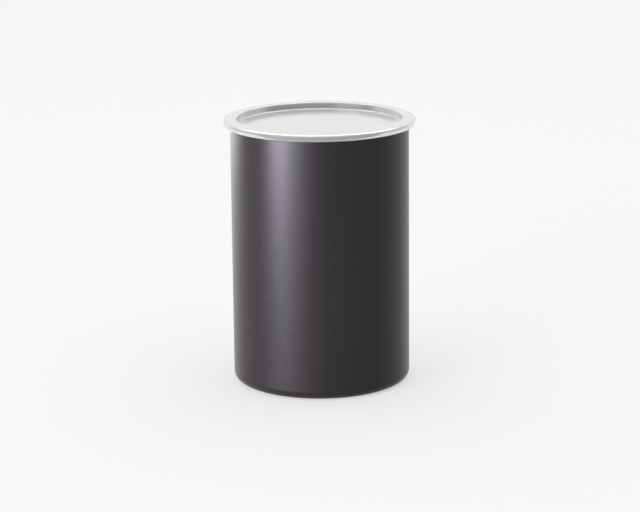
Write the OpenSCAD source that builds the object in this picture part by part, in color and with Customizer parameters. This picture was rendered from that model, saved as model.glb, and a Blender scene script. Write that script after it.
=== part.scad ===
// Coffee canister with an inner plunger lid and a two-way air valve.
// Z is up and the can stands on z = 0. The valve, the plunger and both lids
// share the can's axis. The folded handle lies towards -Y.

/* [Can] */
// Outside diameter of the can
body_d = 121; // [100:0.5:150]
// Height of the can's rolled rim above the table
can_h = 179.7; // [140:0.5:240]
// Thickness of the sheet steel
can_wall = 0.6; // [0.5:0.05:0.9]
// Outside radius of the corner between wall and floor
corner_r = 6; // [4:0.5:9]
// Diameter of the rolled rim's section
curl_d = 2.5; // [2.2:0.1:3]
// Width of the flat ring that the can stands on
foot_w = 8; // [5:0.5:12]
// Height of the pressed-up centre of the floor
floor_rise = 2.2; // [1.5:0.1:3]

/* [Outer lid] */
// Wall thickness of the clear lid
lid_wall = 1.5; // [1.2:0.1:1.8]
// Width of the lid's rim, from its recess to its outermost edge
lid_rim_w = 9.2; // [8.8:0.1:10]
// How far the rim's outer edge bulges past its straight wall
lid_bulge = 0.95; // [0.4:0.05:1.2]
// Depth of the recess in the lid's top
lid_recess = 4.3; // [3.6:0.1:5]
// Height of the plug that enters the can, below the recess floor
plug_h = 6; // [5:0.5:8]
// Clearance between the lid and the can
lid_gap = 0.3; // [0.2:0.05:0.4]

/* [Plunger] */
// Height of the plunger's underside above the table, as stored
plunger_z = 87; // [60:1:95]
// Height of the plunger
plunger_h = 26; // [25:0.5:29]
// Space between the plunger's shells and the can, which the gasket fills
wiper_w = 3.4; // [2.8:0.1:4]
// Wall thickness of the two plastic shells
shell_t = 2; // [1.7:0.1:2.3]
// Depth of the dish in the deck
dish_depth = 15.5; // [15:0.1:16]
// Width of the deck's rim around the dish
deck_rim_w = 6.5; // [6:0.1:7.5]
// Height of the lower shell's wall, up to the gasket
base_h = 9; // [8.5:0.1:10]
// Height of the silicone gasket
gasket_h = 6; // [5:0.1:7]
// Gap between the gasket's lips and the can
lip_gap = 0.3; // [0.2:0.05:0.4]

/* [Valve] */
// Bore of the valve's passage
port_d = 16.8; // [15:0.2:18]
// Diameter of the poppet's head
head_d = 23; // [22:0.2:25]
// Thickness of the poppet's head
head_t = 1.8; // [1.5:0.1:2.2]
// Height of the pad that the cam presses
crown_h = 0.75; // [0.6:0.05:1]
// Diameter of the poppet's stem
stem_d = 4; // [3.5:0.1:4.5]
// Travel of the poppet
valve_lift = 2; // [1.6:0.1:2.4]
// Thickness of the silicone washer under the head
seal_t = 1.2; // [1:0.1:1.5]
// Height of the stem's guide
guide_h = 3.5; // [3:0.1:3.8]
// Wire diameter of the spring
spring_wire = 0.5; // [0.4:0.05:0.55]
// Mean diameter of the spring
spring_d = 6.2; // [5.8:0.1:7]
// Number of curls in the spring
spring_turns = 4; // [3:1:4]

/* [Handle] */
// Clearance between the folded handle's corners and the dish
handle_gap = 3.9; // [3:0.1:6]
// Centre-line radius of the handle's corners
handle_bend = 20; // [14:0.5:24]
// Width of the handle's bar
bar_w = 8; // [7:0.1:9]
// Thickness of the handle's bar
bar_t = 6; // [5:0.1:6.4]
// Diameter of the hinge axle
axle_d = 4; // [3.5:0.1:4.4]
// Distance from the axle to the pressed poppet
cam_closed = 6; // [5.6:0.1:6.4]
// Width of the cam
cam_w = 9; // [7:0.5:12]
// Angle that the handle swings, in degrees
swing = 90; // [80:1:95]

/* [Hidden] */
$fn = 128;

// Can
body_r = body_d / 2;
bore_r = body_r - can_wall;
curl_r = curl_d / 2;
curl_axis_r = bore_r + curl_r;
rim_r = bore_r + curl_d;
curl_end = -105;
foot_r = body_r - corner_r;
panel_r = foot_r - foot_w;
panel_slope = 3;

// Outer lid
skirt_in_r = rim_r + lid_gap;
skirt_r = skirt_in_r + lid_wall;
lid_r = skirt_r + lid_bulge;
recess_r = lid_r - lid_rim_w;
lid_top = can_h + lid_gap + lid_wall;
lid_low = can_h - curl_d - lid_gap;
lid_round = 1.4;
disc_top = lid_top - lid_recess;
disc_low = disc_top - lid_wall;
plug_low = disc_low - plug_h + lid_wall;
plug_lead = 3;
plug_r = bore_r - lid_gap;
plug_taper = 0.8;
plug_bead_h = 0.8;
plug_bead_z = plug_low + plug_lead;

// Plunger
shell_r = bore_r - wiper_w;
dish_r = shell_r - deck_rim_w;
dish_draft = 2;
dish_round = 3.5;
floor_top = plunger_h - dish_depth;
floor_low = floor_top - shell_t;
deck_low = base_h + gasket_h;
deck_round = 2.5;
deck_lip = 1.4;
spigot_gap = 0.3;
spigot_r = shell_r - shell_t - spigot_gap;
spigot_h = 2;
base_t = 2.2;
base_round = 3;
gasket_fit = 0.1;
gasket_in_r = spigot_r + gasket_fit;
gasket_proud = 0.6;
gasket_r = shell_r + gasket_proud;
lip_r = bore_r - lip_gap;
lip_t = 1;
lip_rise = 1.3;

// Valve seat, which is a tube that joins the two shells
port_r = port_d / 2;
tube_t = 1.6;
tube_r = port_r + tube_t;
tube_fit = 0.1;
flange_w = 4;
flange_r = tube_r + flange_w;
flange_t = 1.8;
lip_w = 1.2;
lip_h = 0.4;
seat_top = floor_top + flange_t + lip_h;
o_ring_d = 1.2;
o_ring_inset = 1.3;
o_ring_r = tube_r + o_ring_inset;
o_ring_fit = 0.05;
rib_t = 1.4;
rib_h = 2.8;

// Poppet stack, from the guard upwards
run = 0.05;
stem_r = stem_d / 2;
head_r = head_d / 2;
guard_fit = 0.1;
guard_t = 1.2;
guard_sink = 0.2;
guard_top = guard_sink + guard_t;
guard_lap = 0.1;
guard_r = port_r + guard_lap;
guard_ledge = 1.4;
vent_r = 1.1;
tail_gap = 0.6;
tail = 0.8;
clip_t = 0.65;
clip_low = guard_top + tail_gap + tail;
clip_top = clip_low + clip_t;
clip_w = 1.6;
clip_r = stem_r + clip_w;
groove_depth = 0.6;
groove_r = stem_r - groove_depth;
groove_play = 0.1;
groove_h = clip_t + groove_play;
guide_low = clip_top + run + valve_lift;
guide_top = guide_low + guide_h;
guide_wall = 1.6;
guide_r = stem_r + guide_wall;
spoke_w = 1.8;
seat_gap = 0.2;
head_low = seat_top + seat_gap + seal_t;
head_top = head_low + head_t;
crown_top = head_top + crown_h;
crown_r = 6;
seal_inset = 0.6;
seal_r = head_r - seal_inset;
seal_lap = 1.9;
seal_in_r = port_r - seal_lap;

// Handle, axle and cam
axle_r = axle_d / 2;
axle_z = crown_top + run + cam_closed;
dish_wall_r = dish_r - dish_draft / 2;
bend_reach = (dish_wall_r - handle_gap - bar_w / 2 - handle_bend) * sin(45);
leg_len = floor(10 * bend_reach) / 10;
leg_x = handle_bend + leg_len;
handle_reach = handle_bend + leg_len;
grip_len = 2 * leg_len;
bar_round = 2.2;
eye_wall = 3.5;
eye_r = axle_r + eye_wall;
socket_end = 1.2;
flat_depth = 0.5;
flat = axle_r - flat_depth;
key_fit = 0.03;
ear_t = 4;
ear_gap = 0.5;
ear_x = leg_x - bar_w / 2 - ear_gap - ear_t;
ear_wall = 2.5;
ear_r = axle_r + ear_wall;
ear_foot = 17;
pad_r = 3;
pad_gap = 0.3;
lift_rate = valve_lift / (swing * PI / 180);
cam_steps = 96;

// Spring
spring_len = head_low - guide_top;
spring_rings = 8;
spring_sides = 6;
spring_r = spring_d / 2;
spring_rise = (spring_len - spring_wire) / spring_turns;
spring_steps = spring_turns * spring_rings;

// Points along an arc, centre [x, y], from angle a to angle b
function arc(x, y, r, a, b, n = 8) =
    [for (i = [0:n]) [x + r * cos(a + (b - a) * i / n), y + r * sin(a + (b - a) * i / n)]];

// Outline of a rounded rectangle about the origin
function rounded(w, h, r) = concat(
    arc(w / 2 - r, h / 2 - r, r, 0, 90, 5), arc(r - w / 2, h / 2 - r, r, 90, 180, 5),
    arc(r - w / 2, r - h / 2, r, 180, 270, 5), arc(w / 2 - r, r - h / 2, r, 270, 360, 5));

// Steel can: one drawn shell with a pressed-up floor and a rim rolled outwards
module canister_body() {
    color("#1d1c1f")
    rotate_extrude($fn = 180)
    polygon(concat(
        [[0, floor_rise]],
        [[panel_r - panel_slope, floor_rise], [panel_r, 0]],
        arc(foot_r, corner_r, corner_r, -90, 0, 12),
        [[body_r, can_h - curl_r]],
        arc(curl_axis_r, can_h - curl_r, curl_r - can_wall, 180, curl_end, 12),
        arc(curl_axis_r, can_h - curl_r, curl_r, curl_end, 180, 20),
        arc(foot_r, corner_r, corner_r - can_wall, 0, -90, 12),
        [[panel_r + can_wall / 3, can_wall], [panel_r - panel_slope + can_wall / 3, floor_rise + can_wall]],
        [[0, floor_rise + can_wall]]));
}

// Clear lid: a skirt over the rolled rim, a recessed top and a plug in the can
module outer_lid() {
    mid = (lid_top + lid_low) / 2;
    half = (lid_top - lid_low) / 2;
    color([0.86, 0.88, 0.9, 0.45])
    rotate_extrude($fn = 180)
    polygon(concat(
        [[0, disc_top]],
        arc(recess_r - plug_taper, disc_top + plug_taper, plug_taper, -90, 0, 4),
        arc(recess_r + 0.5, lid_top - 0.5, 0.5, 180, 90, 4),
        arc(skirt_r - lid_round, lid_top - lid_round, lid_round, 90, 45, 4),
        [for (i = [-3:4]) [skirt_r + lid_bulge * cos(i * 20), mid - half * sin(i * 20) * 0.86]],
        [[skirt_r - 0.3, lid_low], [skirt_in_r + 0.3, lid_low], [skirt_in_r, lid_low + 0.3]],
        [[skirt_in_r, lid_top - lid_wall], [recess_r + lid_wall, lid_top - lid_wall]],
        [[recess_r + lid_wall, disc_top], [plug_r, plug_bead_z + 0.8], [plug_r, plug_bead_z]],
        [[plug_r - 0.7, plug_low], [plug_r - 0.7 - lid_wall + 0.3, plug_low]],
        [[recess_r + plug_taper, disc_low - 0.4], [recess_r, disc_low]],
        [[0, disc_low]]));
}

// Upper shell of the plunger, with the dish, the hinge ears and the handle's rests
module plunger_deck() {
    color("#242326")
    translate([0, 0, plunger_z])
    difference() {
        union() {
            rotate_extrude()
            polygon(concat(
                [[shell_r, deck_low]],
                arc(shell_r - deck_round, plunger_h - deck_round, deck_round, 0, 90, 6),
                arc(dish_r + deck_lip, plunger_h - deck_lip, deck_lip, 90, 170, 6),
                arc(dish_r - dish_draft - dish_round, floor_top + dish_round, dish_round, -10, -90, 6),
                [[tube_r + tube_fit, floor_top], [tube_r + tube_fit, floor_low]],
                arc(dish_r - dish_draft - dish_round, floor_top + dish_round,
                    dish_round + shell_t, -90, -10, 6),
                [[dish_r + shell_t, plunger_h - shell_t - deck_lip]],
                [[shell_r - shell_t - 1, plunger_h - shell_t], [shell_r - shell_t, plunger_h - shell_t - 1]],
                [[shell_r - shell_t, deck_low]]));
            for (side = [-1, 1])
                ear(side);
            for (side = [-1, 1])
                rest_pad(side);
        }
        rotate([0, 90, 0])
        translate([-axle_z, 0, -ear_x - ear_t - 1])
        cylinder(r = axle_r + run, h = 2 * (ear_x + ear_t + 1), $fn = 48);
    }
}

// One hinge ear, wide at its foot
module ear(side) {
    translate([side * (ear_x + ear_t / 2), 0, 0])
    rotate([90, 0, 90])
    union() {
        linear_extrude(ear_t, center = true)
        polygon([[-ear_foot / 2, floor_low], [ear_foot / 2, floor_low], [ear_foot / 2, floor_top + 0.8],
                 [ear_r, axle_z], [-ear_r, axle_z], [-ear_foot / 2, floor_top + 0.8]]);
        translate([0, axle_z])
        cylinder(r = ear_r, h = ear_t, center = true, $fn = 48);
    }
}

// Post under a corner of the folded handle
module rest_pad(side) {
    reach = handle_bend * sin(45);
    translate([side * (leg_x - handle_bend + reach), -leg_len - reach, floor_low])
    cylinder(r = pad_r, h = axle_z - bar_t / 2 - pad_gap - floor_low, $fn = 32);
}

// Lower shell of the plunger, whose neck carries the gasket
module plunger_base() {
    neck_in_r = spigot_r - shell_t + spigot_gap;
    ledge_r = guard_r - guard_ledge;
    color("#242326")
    translate([0, 0, plunger_z])
    rotate_extrude()
    polygon(concat(
        [[ledge_r, guard_top], [guard_r + guard_fit, guard_top], [guard_r + guard_fit, 0]],
        arc(shell_r - base_round, base_round, base_round, -90, 0, 6),
        [[shell_r, base_h], [spigot_r, base_h], [spigot_r, deck_low + spigot_h]],
        [[neck_in_r, deck_low + spigot_h], [neck_in_r, base_h - shell_t + 0.5]],
        [[shell_r - shell_t, base_h - shell_t - 1.5], [shell_r - shell_t, base_t]],
        [[tube_r + tube_fit + rib_t, base_t], [tube_r + tube_fit + rib_t, base_t + rib_h]],
        [[tube_r + tube_fit, base_t + rib_h], [tube_r + tube_fit, base_t], [ledge_r, base_t]]));
}

// Silicone ring with two wiping lips
module plunger_gasket() {
    low = base_h;
    mid = base_h + gasket_h / 2;
    color("#39383b")
    translate([0, 0, plunger_z])
    rotate_extrude()
    polygon([[gasket_in_r, low], [gasket_r - 0.4, low], [gasket_r, low + 0.4],
             [lip_r - 0.3, low + lip_rise - 0.1], [lip_r, low + lip_rise + 0.3],
             [lip_r - 0.2, low + lip_rise + lip_t - 0.3], [gasket_r, low + lip_t + 0.6],
             [gasket_r, mid + 0.2],
             [lip_r - 0.3, mid + lip_rise - 0.3], [lip_r, mid + lip_rise + 0.1],
             [lip_r - 0.2, mid + lip_rise + lip_t - 0.5], [gasket_r, mid + lip_t + 0.7],
             [gasket_r - 0.3, low + gasket_h], [gasket_in_r, low + gasket_h]]);
}

// Seat insert: the valve's passage, its flange, its raised lip and the stem's guide
module valve_seat() {
    groove = o_ring_d / 2 + o_ring_fit;
    color("#6d6e72")
    translate([0, 0, plunger_z])
    difference() {
        union() {
            rotate_extrude()
            polygon([[port_r, base_t], [tube_r, base_t], [tube_r, floor_top],
                     [o_ring_r - groove, floor_top], [o_ring_r - groove, floor_top + 2 * groove],
                     [o_ring_r + groove, floor_top + 2 * groove], [o_ring_r + groove, floor_top],
                     [flange_r, floor_top], [flange_r, floor_top + flange_t - 0.5],
                     [flange_r - 0.5, floor_top + flange_t], [port_r + lip_w + 0.4, floor_top + flange_t],
                     [port_r + lip_w, seat_top - 0.2], [port_r + lip_w - 0.2, seat_top],
                     [port_r + 0.2, seat_top], [port_r, seat_top - 0.2]]);
            translate([0, 0, guide_low])
            cylinder(r = guide_r, h = guide_h);
            for (turn = [0:120:240])
                rotate([0, 0, turn + 90])
                translate([(stem_r + guide_r) / 2, -spoke_w / 2, guide_low + 0.3])
                cube([port_r + tube_t / 2 - (stem_r + guide_r) / 2, spoke_w, guide_h - 0.6]);
        }
        translate([0, 0, guide_low - 1])
        cylinder(r = stem_r + run, h = guide_h + 2);
    }
}

// O-ring between the seat's flange and the deck
module seat_o_ring() {
    color("#2f2f31")
    translate([0, 0, plunger_z + floor_top + o_ring_d / 2 + o_ring_fit])
    rotate_extrude($fn = 96)
    translate([o_ring_r, 0])
    circle(d = o_ring_d, $fn = 20);
}

// Grille that keeps grounds and beans out of the valve
module valve_guard() {
    rings = [[6, guard_r * 0.4], [12, guard_r * 0.72]];
    color("#2a292c")
    translate([0, 0, plunger_z + guard_sink])
    difference() {
        cylinder(r = guard_r, h = guard_t);
        translate([0, 0, -1])
        cylinder(r = vent_r, h = guard_t + 2, $fn = 24);
        for (ring = rings)
            for (i = [0:ring[0] - 1])
                rotate([0, 0, i * 360 / ring[0]])
                translate([ring[1], 0, -1])
                cylinder(r = vent_r, h = guard_t + 2, $fn = 24);
    }
}

// Poppet: a mushroom head on a stem that slides in the seat's guide
module valve_poppet() {
    color("#8f2b27")
    translate([0, 0, plunger_z])
    rotate_extrude($fn = 96)
    polygon([[0, clip_low - tail], [stem_r - 0.4, clip_low - tail], [stem_r, clip_low - tail + 0.4],
             [stem_r, clip_top - groove_h], [groove_r, clip_top - groove_h], [groove_r, clip_top],
             [stem_r, clip_top], [stem_r, head_low],
             [head_r - 0.5, head_low], [head_r, head_low + 0.5], [head_r, head_top - 0.7],
             [head_r - 0.7, head_top], [crown_r + 0.5, head_top], [crown_r, crown_top - 0.25],
             [crown_r - 0.25, crown_top], [0, crown_top]]);
}

// Silicone washer under the poppet's head
module valve_seal() {
    color("#d9d6cf")
    translate([0, 0, plunger_z + head_low - seal_t / 2])
    rotate_extrude($fn = 96)
    translate([(seal_r + seal_in_r) / 2, 0])
    polygon(rounded(seal_r - seal_in_r, seal_t, 0.3));
}

// Spring clip in the stem's groove, which stops the poppet at the guide
module stem_clip() {
    slot = groove_r * 1.5;
    color("#b9bcc1")
    translate([0, 0, plunger_z + clip_low])
    difference() {
        cylinder(r = clip_r, h = clip_t, $fn = 48);
        translate([0, 0, -1])
        cylinder(r = groove_r + run, h = clip_t + 2, $fn = 48);
        translate([0, -slot / 2, -1])
        cube([clip_r + 1, slot, clip_t + 2]);
    }
}

// Centre of the spring's wire at one ring
function coil_at(i) = let (a = 360 * i / spring_rings)
    [spring_r * cos(a), spring_r * sin(a), spring_wire / 2 + spring_rise * i / spring_rings];

// Corners of the wire's section at one ring
function coil_ring(i) = let (
    a = 360 * i / spring_rings,
    out = [cos(a), sin(a), 0],
    slope = atan(spring_rise / (2 * PI * spring_r)),
    up = [sin(a) * sin(slope), -cos(a) * sin(slope), cos(slope)])
    [for (s = [0:spring_sides - 1]) let (b = 360 * s / spring_sides)
        coil_at(i) + spring_wire / 2 * (cos(b) * out + sin(b) * up)];

// Least space between two curls of the spring
coil_points = [for (i = [0:spring_steps]) coil_at(i)];
coil_space = min([for (i = [0:spring_steps - spring_rings / 2])
    for (j = [i + spring_rings / 2:spring_steps]) norm(coil_points[i] - coil_points[j])]) - spring_wire;
echo(spring_self_gap = coil_space);

// Compression spring that lifts the poppet when the cam lets it go
module valve_spring() {
    n = spring_sides;
    last = spring_steps * n;
    color("#c4c7cb")
    translate([0, 0, plunger_z + guide_top])
    polyhedron(
        points = [for (i = [0:spring_steps]) each coil_ring(i)],
        faces = concat(
            [[for (s = [0:n - 1]) s]],
            [for (i = [0:spring_steps - 1]) for (s = [0:n - 1]) each [
                [i * n + s, (i + 1) * n + s, (i + 1) * n + (s + 1) % n],
                [i * n + s, (i + 1) * n + (s + 1) % n, i * n + (s + 1) % n]]],
            [[for (s = [n - 1:-1:0]) last + s]]),
        convexity = 10);
}

// Section of the handle's bar
module bar_section() {
    polygon(rounded(bar_w, bar_t, bar_round));
}

// Rod along X whose top is cut flat
module keyed_rod(r, key, len) {
    intersection() {
        rotate([0, 90, 0])
        cylinder(r = r, h = len, $fn = 48);
        translate([-1, -r - 1, -r - 1])
        cube([len + 2, 2 * r + 2, r + 1 + key]);
    }
}

// Folding handle, with an eye on each leg for the axle's keyed ends
module handle() {
    color("#242326")
    translate([0, 0, plunger_z + axle_z])
    difference() {
        union() {
            translate([-grip_len / 2, -handle_reach, 0])
            rotate([90, 0, 90])
            linear_extrude(grip_len)
            bar_section();
            for (side = [0, 1])
                mirror([side, 0, 0])
                handle_side();
        }
        for (side = [0, 1])
            mirror([side, 0, 0])
            translate([leg_x - bar_w / 2 - 1, 0, 0])
            keyed_rod(axle_r + key_fit, flat + key_fit, bar_w + 1 - socket_end);
    }
}

// One leg, bend and eye of the handle
module handle_side() {
    translate([leg_x, 0, 0])
    rotate([90, 0, 0])
    linear_extrude(leg_len)
    bar_section();
    translate([leg_x - handle_bend, -leg_len, 0])
    rotate([0, 0, -90])
    rotate_extrude(angle = 90)
    translate([handle_bend, 0])
    bar_section();
    translate([leg_x - bar_w / 2, 0, 0])
    rotate([0, 90, 0])
    cylinder(r = eye_r, h = bar_w, $fn = 64);
}

// Steel axle, flatted where the cam and the handle are keyed to it
module handle_axle() {
    half = leg_x + bar_w / 2 - socket_end - 0.3;
    neck = ear_x + ear_t + ear_gap / 2;
    color("#b4b7bc")
    translate([0, 0, plunger_z + axle_z])
    union() {
        translate([-half, 0, 0])
        keyed_rod(axle_r, flat, 2 * half);
        for (side = [0, 1])
            mirror([side, 0, 0])
            translate([cam_w / 2 + 0.5, 0, 0])
            rotate([0, 90, 0])
            cylinder(r = axle_r, h = neck - cam_w / 2 - 0.5, $fn = 48);
    }
}

// Distance from the axle to the cam's flank, and its rate, facing angle a.
// It falls at a steady rate over the swing, so the poppet rises in step with
// the handle, and comes back on a smooth curve.
turn_back = (360 - swing) * PI / 180;
function way(a) = (a + 90 - swing) / (360 - swing);
function cam_reach(a) = a <= swing - 90
    ? cam_closed - lift_rate * (a + 90) * PI / 180
    : let (t = way(a), m = -lift_rate * turn_back)
        (2 * t ^ 3 - 3 * t ^ 2 + 1) * (cam_closed - valve_lift) + (t ^ 3 - 2 * t ^ 2 + t) * m
        + (3 * t ^ 2 - 2 * t ^ 3) * cam_closed + (t ^ 3 - t ^ 2) * m;
function cam_rate(a) = a <= swing - 90
    ? -lift_rate
    : let (t = way(a), m = -lift_rate * turn_back)
        ((6 * t ^ 2 - 6 * t) * (cam_closed - valve_lift) + (3 * t ^ 2 - 4 * t + 1) * m
        + (6 * t - 6 * t ^ 2) * cam_closed + (3 * t ^ 2 - 2 * t) * m) / turn_back;

// Cam over the poppet: it holds the valve shut while the handle is folded
module valve_cam() {
    outline = [for (i = [0:cam_steps - 1]) let (a = -90 + 360 * i / cam_steps)
        [cam_reach(a) * cos(a) - cam_rate(a) * sin(a), cam_reach(a) * sin(a) + cam_rate(a) * cos(a)]];
    color("#8b8d91")
    translate([0, 0, plunger_z + axle_z])
    difference() {
        rotate([90, 0, 90])
        linear_extrude(cam_w, center = true)
        polygon(outline);
        translate([-cam_w / 2 - 1, 0, 0])
        keyed_rod(axle_r + key_fit, flat + key_fit, cam_w + 2);
    }
}

canister_body();
outer_lid();
plunger_deck();
plunger_base();
plunger_gasket();
valve_seat();
seat_o_ring();
valve_guard();
valve_poppet();
valve_seal();
stem_clip();
valve_spring();
handle();
handle_axle();
valve_cam();
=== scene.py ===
"""Looks of the coffee canister: finishes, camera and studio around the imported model. The can
and the outer lid are turned again here, finely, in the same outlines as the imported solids."""
import math

import bpy
from mathutils import Matrix, Vector


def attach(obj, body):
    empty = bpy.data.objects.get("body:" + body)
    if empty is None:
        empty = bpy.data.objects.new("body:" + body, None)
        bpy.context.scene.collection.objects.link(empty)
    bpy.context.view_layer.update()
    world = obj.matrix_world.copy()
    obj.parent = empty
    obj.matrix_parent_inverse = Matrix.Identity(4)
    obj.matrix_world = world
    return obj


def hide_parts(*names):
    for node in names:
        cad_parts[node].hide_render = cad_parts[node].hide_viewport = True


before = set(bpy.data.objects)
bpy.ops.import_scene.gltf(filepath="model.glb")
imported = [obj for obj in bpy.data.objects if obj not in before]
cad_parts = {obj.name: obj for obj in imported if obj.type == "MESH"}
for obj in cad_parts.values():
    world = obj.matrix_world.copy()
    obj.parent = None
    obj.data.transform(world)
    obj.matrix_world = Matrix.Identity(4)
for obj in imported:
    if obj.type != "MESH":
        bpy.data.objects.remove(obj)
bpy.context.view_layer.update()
MM = 0.001

# Driving sizes in millimetres, as on the real object
BODY_R = 60.5
WALL = 0.6
CAN_H = 179.7
CORNER_R = 6.0
CURL_R = 1.25
CURL_END = -105
FOOT_W = 8.0
FLOOR_RISE = 2.2
PANEL_SLOPE = 3.0
LID_WALL = 1.5
LID_RIM_W = 9.2
LID_BULGE = 0.95
BULGE_SPAN = 0.86
LID_RECESS = 4.3
LID_GAP = 0.3
LID_EDGE_R = 1.4
LID_LIP_R = 0.5
LID_FOOT_R = 0.8
LID_BREAK = 0.3
PLUG_H = 6.0
PLUG_BEAD_UP = 3.0
PLUG_BEAD_H = 0.8
PLUG_LEAD = 0.7
PLUG_THIN = 0.4

COAT_ROUGH = 0.31
COAT_IOR = 1.36
PLASTIC_IOR = 1.49
ROUND_STEPS = 256


def arc(x, y, r, a, b, n=8):
    """Points along an arc about (x, y) from angle a to angle b, in degrees."""
    turns = [math.radians(a + (b - a) * i / n) for i in range(n + 1)]
    return [(x + r * math.cos(t), y + r * math.sin(t)) for t in turns]


def tighten(outline, edge=0.15, longest=1.0):
    """Adds a point near both ends of each long side, so that smooth shading stays flat there."""
    out = []
    for (r0, z0), (r1, z1) in zip(outline, outline[1:] + outline[:1]):
        out.append((r0, z0))
        length = math.hypot(r1 - r0, z1 - z0)
        if length > longest:
            for t in (edge / length, 1 - edge / length):
                out.append((r0 + (r1 - r0) * t, z0 + (z1 - z0) * t))
    return out


def lathe(name, outline, paint=None, steps=ROUND_STEPS):
    """A closed solid of revolution about Z. Points on the axis become one vertex; paint gives
    a material index from the middle of a side of the outline and the side's number."""
    verts, faces, index, rings = [], [], [], []
    for r, z in outline:
        if r < 1e-6:
            rings.append([len(verts)] * steps)
            verts.append((0, 0, z * MM))
        else:
            rings.append(list(range(len(verts), len(verts) + steps)))
            for i in range(steps):
                a = 2 * math.pi * i / steps
                verts.append((r * MM * math.cos(a), r * MM * math.sin(a), z * MM))
    for k, (r0, z0) in enumerate(outline):
        r1, z1 = outline[(k + 1) % len(outline)]
        if r0 < 1e-6 and r1 < 1e-6:
            continue
        ring, after = rings[k], rings[(k + 1) % len(outline)]
        slot = paint((r0 + r1) / 2, (z0 + z1) / 2, k) if paint else 0
        for i in range(steps):
            j = (i + 1) % steps
            corners = []
            for v in (ring[i], ring[j], after[j], after[i]):
                if v not in corners:
                    corners.append(v)
            faces.append(corners)
            index.append(slot)
    mesh = bpy.data.meshes.new(name)
    mesh.from_pydata(verts, [], faces)
    mesh.polygons.foreach_set("material_index", index)
    mesh.polygons.foreach_set("use_smooth", [True] * len(faces))
    mesh.validate()
    mesh.update()
    piece = bpy.data.objects.new(name, mesh)
    bpy.context.scene.collection.objects.link(piece)
    return piece


def material(name, color, rough, metal=0.0, **sockets):
    """A Principled material and its node tree."""
    m = bpy.data.materials.new(name)
    m.use_nodes = True
    shader = m.node_tree.nodes["Principled BSDF"]
    shader.inputs["Base Color"].default_value = (*color, 1)
    shader.inputs["Roughness"].default_value = rough
    shader.inputs["Metallic"].default_value = metal
    for socket, value in sockets.items():
        shader.inputs[socket.replace("_", " ")].default_value = value
    return m


def noise(tree, scale, detail=3.0, stretch=(1, 1, 1), where="Object"):
    """A noise value over the piece, stretched along an axis by a small number there."""
    place = tree.nodes.new("ShaderNodeTexCoord")
    mapping = tree.nodes.new("ShaderNodeMapping")
    mapping.inputs["Scale"].default_value = stretch
    texture = tree.nodes.new("ShaderNodeTexNoise")
    texture.inputs["Scale"].default_value = scale
    texture.inputs["Detail"].default_value = detail
    tree.links.new(place.outputs[where], mapping.inputs["Vector"])
    tree.links.new(mapping.outputs["Vector"], texture.inputs["Vector"])
    return texture.outputs["Fac"]


def spread(tree, value, low, high):
    """Maps a noise value, which stays near its middle, to a range."""
    n = tree.nodes.new("ShaderNodeMapRange")
    n.inputs["From Min"].default_value = 0.3
    n.inputs["From Max"].default_value = 0.7
    n.inputs["To Min"].default_value = low
    n.inputs["To Max"].default_value = high
    tree.links.new(value, n.inputs["Value"])
    return n.outputs["Result"]


def bump(tree, value, strength, depth):
    """Feeds a height to the shader's normal; depth is in metres."""
    n = tree.nodes.new("ShaderNodeBump")
    n.inputs["Strength"].default_value = strength
    n.inputs["Distance"].default_value = depth
    tree.links.new(value, n.inputs["Height"])
    shader = tree.nodes["Principled BSDF"]
    tree.links.new(n.outputs["Normal"], shader.inputs["Normal"])


def black_coat():
    """Satin black coat: a fine orange peel and slight changes of gloss."""
    m = material("black_coat", (0.0045, 0.0035, 0.004), COAT_ROUGH, IOR=COAT_IOR)
    tree = m.node_tree
    rough = spread(tree, noise(tree, 900, 4), COAT_ROUGH - 0.03, COAT_ROUGH + 0.03)
    tree.links.new(rough, tree.nodes["Principled BSDF"].inputs["Roughness"])
    bump(tree, noise(tree, 2600, 2), 0.12, 0.00004)
    return m


def bare_steel():
    """Drawn stainless steel with faint marks around its axis."""
    m = material("bare_steel", (0.6, 0.59, 0.59), 0.42, metal=1.0)
    tree = m.node_tree
    rough = spread(tree, noise(tree, 400, 4, (0.2, 0.2, 8)), 0.36, 0.5)
    tree.links.new(rough, tree.nodes["Principled BSDF"].inputs["Roughness"])
    bump(tree, noise(tree, 500, 3, (0.1, 0.1, 10)), 0.1, 0.00003)
    return m


def clear_plastic():
    """Clear moulded plastic, slightly milky, with faint marks of wear."""
    m = material("clear_plastic", (0.62, 0.605, 0.61), 0.14, IOR=PLASTIC_IOR,
                 Transmission_Weight=0.5)
    tree = m.node_tree
    rough = spread(tree, noise(tree, 60, 4), 0.11, 0.17)
    tree.links.new(rough, tree.nodes["Principled BSDF"].inputs["Roughness"])
    return m


def moulded(name, color, rough):
    """Moulded plastic with a fine grain."""
    m = material(name, color, rough)
    tree = m.node_tree
    value = spread(tree, noise(tree, 1500, 3), rough - 0.06, rough + 0.06)
    tree.links.new(value, tree.nodes["Principled BSDF"].inputs["Roughness"])
    bump(tree, noise(tree, 3500, 2), 0.2, 0.00005)
    return m


def silicone(name, color):
    """Matt silicone with a soft sheen."""
    m = material(name, color, 0.6, Sheen_Weight=0.2)
    bump(m.node_tree, noise(m.node_tree, 1200, 3), 0.15, 0.00006)
    return m


def bright_steel():
    """Polished steel rod and clip, with fine marks along it."""
    m = material("bright_steel", (0.7, 0.7, 0.71), 0.2, metal=1.0)
    tree = m.node_tree
    rough = spread(tree, noise(tree, 700, 3, (0.1, 1, 1)), 0.16, 0.28)
    tree.links.new(rough, tree.nodes["Principled BSDF"].inputs["Roughness"])
    return m


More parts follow.
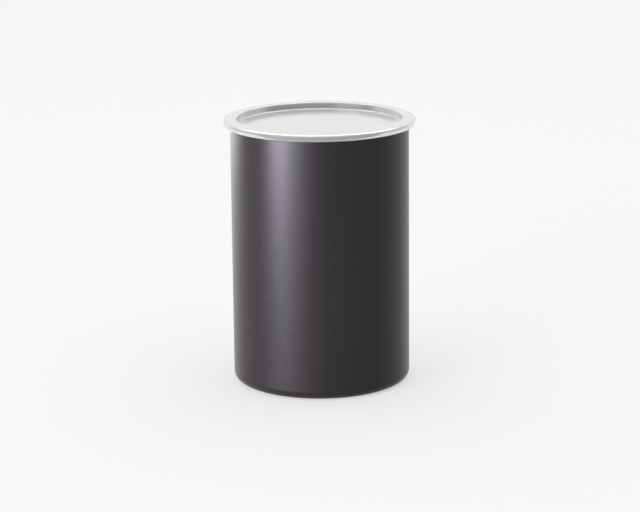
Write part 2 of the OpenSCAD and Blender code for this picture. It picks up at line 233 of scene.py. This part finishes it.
def canister():
    """The can: a satin black coat outside and bare steel inside and over the rolled rim."""
    bore = BODY_R - WALL
    foot = BODY_R - CORNER_R
    panel = foot - FOOT_W
    curl_x = bore + CURL_R
    curl_z = CAN_H - CURL_R
    outer = [(0, FLOOR_RISE), (panel - PANEL_SLOPE, FLOOR_RISE), (panel, 0)]
    outer += arc(foot, CORNER_R, CORNER_R, -90, 0, 24)
    rim = [(BODY_R, curl_z)]
    rim += arc(curl_x, curl_z, CURL_R - WALL, 180, CURL_END, 20)
    rim += arc(curl_x, curl_z, CURL_R, CURL_END, 180, 32)
    inner = arc(foot, CORNER_R, CORNER_R - WALL, 0, -90, 24)
    third = WALL / 3
    inner += [(panel + third, WALL), (panel - PANEL_SLOPE + third, FLOOR_RISE + WALL)]
    inner += [(0, FLOOR_RISE + WALL)]
    outline = tighten(outer + rim + inner)
    wall_top = outline.index((BODY_R, curl_z))
    near_wall = BODY_R - 0.01

    def coat_or_steel(r, z, k):
        on_wall = r > near_wall and z < curl_z
        under_floor = z < CORNER_R and k < wall_top
        return 0 if on_wall or under_floor else 1

    piece = lathe("canister_shell", outline, coat_or_steel)
    piece.data.materials.append(COAT)
    piece.data.materials.append(STEEL_INSIDE)
    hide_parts("canister_body")
    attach(piece, "can")
    return piece


def outer_lid():
    """The clear lid, one moulding of revolution."""
    bore = BODY_R - WALL
    skirt_in = bore + 2 * CURL_R + LID_GAP
    skirt = skirt_in + LID_WALL
    recess = skirt + LID_BULGE - LID_RIM_W
    top = CAN_H + LID_GAP + LID_WALL
    low = CAN_H - 2 * CURL_R - LID_GAP
    disc_top = top - LID_RECESS
    disc_low = disc_top - LID_WALL
    plug_low = disc_low - PLUG_H + LID_WALL
    plug = bore - LID_GAP
    bead_z = plug_low + PLUG_BEAD_UP
    mid = (top + low) / 2
    half = (top - low) / 2
    line = [(0, disc_top)]
    line += arc(recess - LID_FOOT_R, disc_top + LID_FOOT_R, LID_FOOT_R, -90, 0, 8)
    line += arc(recess + LID_LIP_R, top - LID_LIP_R, LID_LIP_R, 180, 90, 8)
    line += arc(skirt - LID_EDGE_R, top - LID_EDGE_R, LID_EDGE_R, 90, 45, 6)
    for turn in range(-60, 90, 10):
        a = math.radians(turn)
        line.append((skirt + LID_BULGE * math.cos(a), mid - half * math.sin(a) * BULGE_SPAN))
    line += [(skirt - LID_BREAK, low), (skirt_in + LID_BREAK, low)]
    line += [(skirt_in, low + LID_BREAK)]
    line += [(skirt_in, top - LID_WALL), (recess + LID_WALL, top - LID_WALL)]
    line += [(recess + LID_WALL, disc_top), (plug, bead_z + PLUG_BEAD_H), (plug, bead_z)]
    line += [(plug - PLUG_LEAD, plug_low), (plug - PLUG_THIN - LID_WALL, plug_low)]
    line += [(recess + LID_FOOT_R, disc_low - PLUG_THIN), (recess, disc_low), (0, disc_low)]
    piece = lathe("clear_lid", tighten(line))
    piece.data.materials.append(CLEAR)
    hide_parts("outer_lid")
    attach(piece, "lid")


COAT = black_coat()
STEEL_INSIDE = bare_steel()
CLEAR = clear_plastic()
FINISHES = {
    "plunger_deck": moulded("black_plastic", (0.018, 0.018, 0.019), 0.38),
    "valve_seat": moulded("grey_plastic", (0.22, 0.22, 0.23), 0.42),
    "valve_poppet": moulded("red_plastic", (0.32, 0.025, 0.02), 0.3),
    "plunger_gasket": silicone("black_silicone", (0.05, 0.05, 0.052)),
    "valve_seal": silicone("pale_silicone", (0.72, 0.70, 0.66)),
    "handle_axle": bright_steel(),
}
SAME = {
    "plunger_deck": ("plunger_base", "valve_guard", "handle"),
    "valve_seat": ("valve_cam",),
    "plunger_gasket": ("seat_o_ring",),
    "handle_axle": ("stem_clip", "valve_spring"),
}
for first, finish in FINISHES.items():
    for node in (first, *SAME.get(first, ())):
        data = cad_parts[node].data
        data.materials.clear()
        data.materials.append(finish)

shell = canister()
outer_lid()


def studio(can):
    """Pale seamless sweep, lit from itself and a ceiling softbox, with softboxes low around the
    can that give its coat the two bright bands and the light left edge."""
    depth, rise, width, bend = 3.2, 2.6, 4.0, 0.8
    line = [(-9.0, 0.0), (depth - bend, 0.0)]
    line += arc(depth - bend, bend, bend, -90, 0, 10)
    line += [(depth, rise)]
    verts = [(x, y, z) for y, z in line for x in (-width, width)]
    faces = [(2 * i, 2 * i + 1, 2 * i + 3, 2 * i + 2) for i in range(len(line) - 1)]
    mesh = bpy.data.meshes.new("sweep")
    mesh.from_pydata(verts, [], faces)
    mesh.polygons.foreach_set("use_smooth", [True] * len(faces))
    sweep = bpy.data.objects.new("sweep", mesh)
    bpy.context.scene.collection.objects.link(sweep)
    mesh.materials.append(material("paper", (0.35, 0.35, 0.35), 0.9, Specular_IOR_Level=0.1,
                                   Emission_Color=(1, 0.99, 0.99, 1), Emission_Strength=0.55))

    world = bpy.data.worlds.new("surround")
    bpy.context.scene.world = world
    world.use_nodes = True
    back = world.node_tree.nodes["Background"]
    back.inputs["Color"].default_value = (1.0, 0.985, 0.97, 1)
    back.inputs["Strength"].default_value = 0.42

    def soft_box(name, azimuth, elevation, distance, size, radiance, color, only=None):
        """A panel facing the can, azimuth counted from the camera's side to its right. It lights
        one piece only, where one is given."""
        aim = Vector((0, 0, 0.09))
        az, el = math.radians(azimuth), math.radians(elevation)
        way = Vector((math.sin(az) * math.cos(el), -math.cos(az) * math.cos(el), math.sin(el)))
        light = bpy.data.lights.new(name, "AREA")
        light.shape = "RECTANGLE"
        light.size, light.size_y = size
        light.energy = radiance * math.pi * size[0] * size[1]
        light.color = color
        box = bpy.data.objects.new(name, light)
        box.location = aim + way * distance
        box.rotation_euler = (-way).to_track_quat("-Z", "Y").to_euler()
        if only:
            lit = bpy.data.collections.new(name + "_lit")
            lit.objects.link(only)
            box.light_linking.receiver_collection = lit
        bpy.context.scene.collection.objects.link(box)

    soft_box("ceiling", 180, 86, 2.4, (5.0, 5.0), 1.1, (1, 0.99, 0.985))
    soft_box("window", -42, 15, 1.7, (1.1, 0.6), 3.5, (0.97, 0.98, 1))
    soft_box("streak", -51, 6, 1.7, (0.75, 0.4), 132, (0.9, 0.85, 1), can)
    soft_box("streak_2", -26, 6, 1.7, (0.5, 0.4), 24, (0.92, 0.87, 1), can)
    soft_box("side", -141, 5, 1.7, (0.9, 0.8), 44, (1, 0.98, 0.97), can)


def camera():
    """The photograph's view, fitted to the can's edges in its 640 by 512 frame."""
    frame_w = 640
    focal_px = 2406.5
    distance, height, aside = 1.6, 0.4812, -0.0005
    pitch, roll = math.radians(13.91), -0.0105
    ahead = Vector((0, math.cos(pitch), -math.sin(pitch)))
    side = Vector((1, 0, 0))
    up = side.cross(ahead)
    right = side * math.cos(roll) + up * math.sin(roll)
    top = up * math.cos(roll) - side * math.sin(roll)
    data = bpy.data.cameras.new("camera")
    data.sensor_fit = "HORIZONTAL"
    data.sensor_width = 36
    data.lens = focal_px / frame_w * data.sensor_width
    data.clip_end = 20
    eye = bpy.data.objects.new("camera", data)
    turn = Matrix((right, top, -ahead)).transposed().to_4x4()
    eye.matrix_world = Matrix.Translation((aside, -distance, height)) @ turn
    bpy.context.scene.collection.objects.link(eye)
    bpy.context.scene.camera = eye


studio(shell)
camera()
bpy.context.scene.view_settings.view_transform = "Standard"
